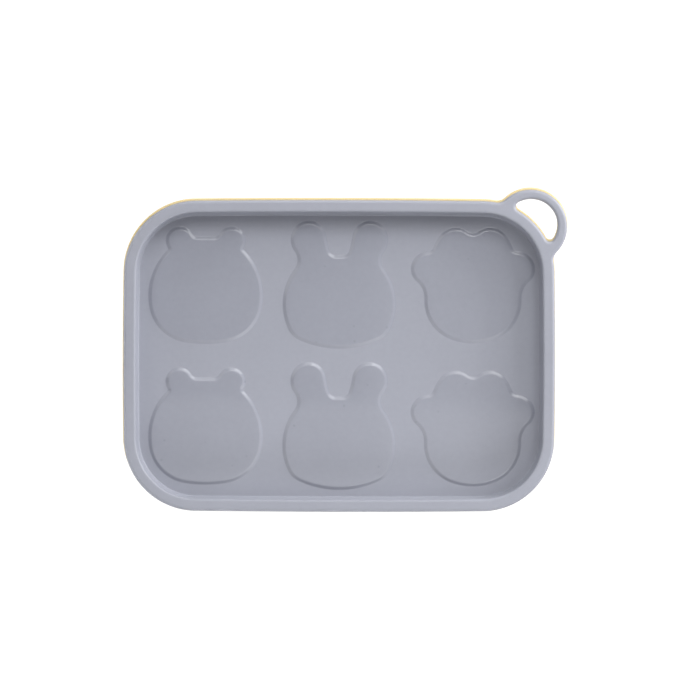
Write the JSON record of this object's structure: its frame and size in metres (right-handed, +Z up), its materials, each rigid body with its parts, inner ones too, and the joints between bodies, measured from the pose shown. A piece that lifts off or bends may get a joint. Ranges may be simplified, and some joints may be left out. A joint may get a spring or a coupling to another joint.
{
  "type": "baby food freezer tray with lid",
  "caption": "Shallow silicone tray with animal-shaped food cups and a recessed silicone lid that drops into its rim; a hanging loop stands out of one corner of both.",
  "frame": {"origin": "middle of the footprint, hanging loop included, on the plane that the cup bottoms stand on", "axes": "+Z up out of the lid, +X along the long side towards the end with the hanging loop, +Y towards the long side with the loop, which the animals' ears point to"},
  "size_m": [0.2064, 0.1507, 0.0418],
  "materials": {
    "cream_silicone": "matte",
    "grey_silicone": "matte"
  },
  "bodies": {
    "tray": {"tray": "cream_silicone"},
    "lid": {"lid": "grey_silicone"}
  },
  "joints": [
    {"name": "lid_lift", "type": "slide", "parent": "tray", "child": "lid", "axis": [0, 0, 1], "range_m": [0, 0.06]}
  ]
}
